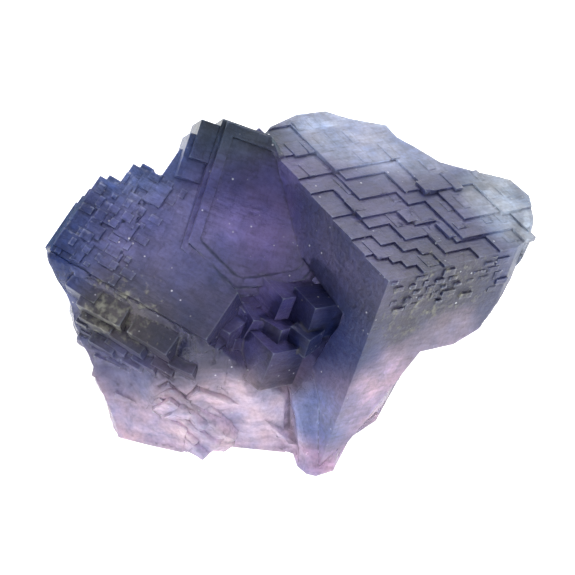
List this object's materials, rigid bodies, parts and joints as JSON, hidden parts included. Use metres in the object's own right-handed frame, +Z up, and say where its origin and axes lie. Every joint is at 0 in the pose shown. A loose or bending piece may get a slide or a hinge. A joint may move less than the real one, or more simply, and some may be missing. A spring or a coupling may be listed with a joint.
{
  "type": "fluorite specimen",
  "caption": "Hand-sized cluster of intergrown grey-blue fluorite cubes with stepped growth layers on a pale lilac broken root, flat underneath so that it stands on a shelf.",
  "frame": {"origin": "centre of the bounding box, on the flat broken underside", "axes": "+Z up, +X along the longest extent, to the right as seen from the best side, which faces -Y"},
  "size_m": [0.071, 0.0468, 0.0402],
  "materials": {
    "fluorite": "translucent satin crystal faces, grey-blue above and pale lilac where the root is broken"
  },
  "bodies": {
    "root": {"fluorite_cluster": "fluorite"}
  },
  "joints": []
}
